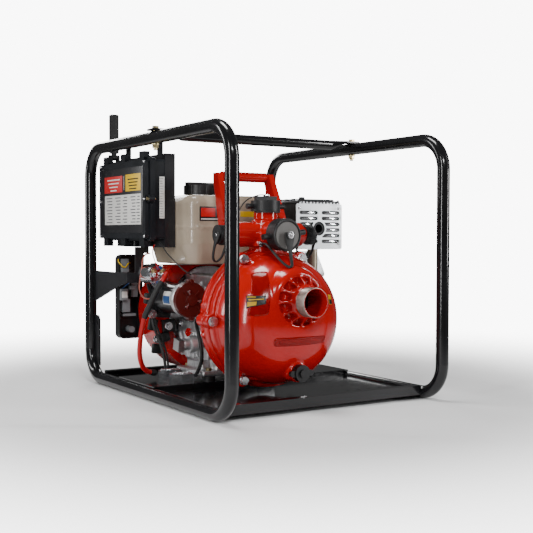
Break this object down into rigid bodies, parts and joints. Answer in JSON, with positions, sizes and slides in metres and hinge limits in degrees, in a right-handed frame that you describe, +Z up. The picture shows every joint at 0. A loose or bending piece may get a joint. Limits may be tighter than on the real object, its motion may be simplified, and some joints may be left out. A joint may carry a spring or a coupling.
{
  "type": "portable fire pump",
  "caption": "Engine driven fire pump with a red domed pump head, carried in a black tubular roll frame with a base plate and a remote start box.",
  "frame": {"origin": "on the floor under the centre of the frame", "axes": "+X to the silencer side, -Y out of the suction port, +Z up"},
  "size_m": [0.5339, 0.6934, 0.631],
  "materials": {
    "left_hoop": "gloss",
    "right_hoop": "gloss",
    "top_crossbar": "gloss",
    "frame_bolts": "zinc plated",
    "base_pan": "gloss",
    "engine_plate": "gloss",
    "box_bracket": "satin",
    "box_tray": "satin",
    "rubber_mounts": "matte",
    "crankcase": "cast",
    "crankcase_cover": "cast",
    "cylinder_block": "cast",
    "cylinder_head": "cast",
    "rocker_cover": "satin",
    "fan_cover": "gloss",
    "recoil_cover": "gloss",
    "fuel_tank": "gloss",
    "carburettor": "cast",
    "air_cleaner": "satin",
    "muffler": "matte",
    "muffler_guard": "satin",
    "exhaust_pipe": "heat stained",
    "starter_motor": "satin",
    "starter_cap": "satin",
    "solenoid": "polished",
    "control_housing": "satin",
    "control_parts": "satin",
    "pump_adapter": "gloss",
    "pump_cover": "gloss",
    "cover_bolts": "polished",
    "pump_inserts": "satin",
    "manifold": "gloss",
    "lifting_handle": "gloss",
    "box_base": "satin",
    "box_lid": "satin",
    "battery_clamps": "dull",
    "positive_lead": "satin",
    "negative_lead": "satin",
    "strap_front": "matte",
    "strap_left": "matte",
    "strap_right": "matte",
    "crankshaft": "machined",
    "flywheel": "cast",
    "impellers": "cast",
    "front_cap": "satin",
    "left_cap": "satin",
    "right_cap": "satin",
    "priming_cap": "satin",
    "drain_plug": "gloss",
    "fuel_cap": "satin",
    "oil_cap": "dull",
    "recoil_grip": "matte",
    "recoil_rope": "braided",
    "recoil_pulley": "satin",
    "throttle_lever": "satin",
    "choke_lever": "satin",
    "fuel_tap_lever": "satin",
    "ignition_key": "polished",
    "antenna": "satin",
    "suction_flap": "matte"
  },
  "bodies": {
    "frame_body": {"left_hoop": "left_hoop", "right_hoop": "right_hoop", "top_crossbar": "top_crossbar", "frame_bolts": "frame_bolts", "base_pan": "base_pan", "engine_plate": "engine_plate", "box_bracket": "box_bracket", "box_tray": "box_tray", "rubber_mounts": "rubber_mounts", "crankcase": "crankcase", "crankcase_cover": "crankcase_cover", "cylinder_block": "cylinder_block", "cylinder_head": "cylinder_head", "rocker_cover": "rocker_cover", "fan_cover": "fan_cover", "recoil_cover": "recoil_cover", "fuel_tank": "fuel_tank", "carburettor": "carburettor", "air_cleaner": "air_cleaner", "muffler": "muffler", "muffler_guard": "muffler_guard", "exhaust_pipe": "exhaust_pipe", "starter_motor": "starter_motor", "starter_cap": "starter_cap", "solenoid": "solenoid", "control_housing": "control_housing", "control_parts": "control_parts", "pump_adapter": "pump_adapter", "pump_cover": "pump_cover", "cover_bolts": "cover_bolts", "pump_inserts": "pump_inserts", "manifold": "manifold", "lifting_handle": "lifting_handle", "box_base": "box_base", "box_lid": "box_lid", "battery_clamps": "battery_clamps", "positive_lead": "positive_lead", "negative_lead": "negative_lead", "strap_front": "strap_front", "strap_left": "strap_left", "strap_right": "strap_right"},
    "rotor": {"crankshaft": "crankshaft", "flywheel": "flywheel", "impellers": "impellers"},
    "front_cap": {"front_cap": "front_cap"},
    "left_cap": {"left_cap": "left_cap"},
    "right_cap": {"right_cap": "right_cap"},
    "priming_cap": {"priming_cap": "priming_cap"},
    "drain_plug": {"drain_plug": "drain_plug"},
    "fuel_cap": {"fuel_cap": "fuel_cap"},
    "oil_cap": {"oil_cap": "oil_cap"},
    "recoil_grip": {"recoil_grip": "recoil_grip", "recoil_rope": "recoil_rope"},
    "recoil_pulley": {"recoil_pulley": "recoil_pulley"},
    "throttle_lever": {"throttle_lever": "throttle_lever"},
    "choke_lever": {"choke_lever": "choke_lever"},
    "fuel_tap_lever": {"fuel_tap_lever": "fuel_tap_lever"},
    "ignition_key": {"ignition_key": "ignition_key"},
    "antenna": {"antenna": "antenna"},
    "suction_flap": {"suction_flap": "suction_flap"}
  },
  "joints": [
    {"name": "rotor_spin", "type": "hinge", "parent": "frame_body", "child": "rotor", "pos_m": [-0.046, 0, 0.1749], "axis": [0, 1, 0], "continuous": true},
    {"name": "front_cap_off", "type": "slide", "parent": "frame_body", "child": "front_cap", "axis": [0, -1, 0], "range_m": [0, 0.035], "deforming": ["strap_front"]},
    {"name": "left_cap_off", "type": "slide", "parent": "frame_body", "child": "left_cap", "axis": [-1, 0, 0], "range_m": [0, 0.03], "deforming": ["strap_left"]},
    {"name": "right_cap_off", "type": "slide", "parent": "frame_body", "child": "right_cap", "axis": [1, 0, 0], "range_m": [0, 0.03], "deforming": ["strap_right"]},
    {"name": "priming_cap_off", "type": "slide", "parent": "frame_body", "child": "priming_cap", "axis": [0, 0, 1], "range_m": [0, 0.03]},
    {"name": "drain_plug_out", "type": "slide", "parent": "frame_body", "child": "drain_plug", "axis": [0, -1, 0], "range_m": [0, 0.04]},
    {"name": "fuel_cap_off", "type": "slide", "parent": "frame_body", "child": "fuel_cap", "axis": [0, 0, 1], "range_m": [0, 0.04]},
    {"name": "oil_cap_out", "type": "slide", "parent": "frame_body", "child": "oil_cap", "axis": [-1, 0, 0], "range_m": [0, 0.03]},
    {"name": "recoil_pull", "type": "slide", "parent": "frame_body", "child": "recoil_grip", "axis": [0, 0, 1], "range_m": [0, 0.25], "stiffness_N_per_m": 40, "deforming": ["recoil_rope"]},
    {"name": "recoil_pulley_turn", "type": "hinge", "parent": "frame_body", "child": "recoil_pulley", "pos_m": [-0.046, 0.22, 0.1749], "axis": [0, -1, 0], "range_deg": [0, 300]},
    {"name": "throttle_turn", "type": "hinge", "parent": "frame_body", "child": "throttle_lever", "pos_m": [0.06, 0.143, 0.2809], "axis": [0, 0, -1], "range_deg": [-10, 35]},
    {"name": "choke_turn", "type": "hinge", "parent": "frame_body", "child": "choke_lever", "pos_m": [0.125, 0.153, 0.2609], "axis": [0, 1, 0], "range_deg": [-60, 0]},
    {"name": "fuel_tap_turn", "type": "hinge", "parent": "frame_body", "child": "fuel_tap_lever", "pos_m": [0.107, 0.153, 0.2429], "axis": [0, 1, 0], "range_deg": [0, 45]},
    {"name": "key_turn", "type": "hinge", "parent": "frame_body", "child": "ignition_key", "pos_m": [-0.207, 0.236, 0.2649], "axis": [0, 1, 0], "range_deg": [0, 80]},
    {"name": "antenna_fold", "type": "hinge", "parent": "frame_body", "child": "antenna", "pos_m": [-0.212, 0.2902, 0.529], "axis": [1, 0, 0], "range_deg": [-90, 0]},
    {"name": "suction_flap_swing", "type": "hinge", "parent": "frame_body", "child": "suction_flap", "pos_m": [-0.046, -0.229, 0.2429], "axis": [1, 0, 0], "range_deg": [0, 50]}
  ],
  "couplings": [
    {"joint": "recoil_pulley_turn", "follows": "recoil_pull", "rad_per_m": 18.182}
  ]
}
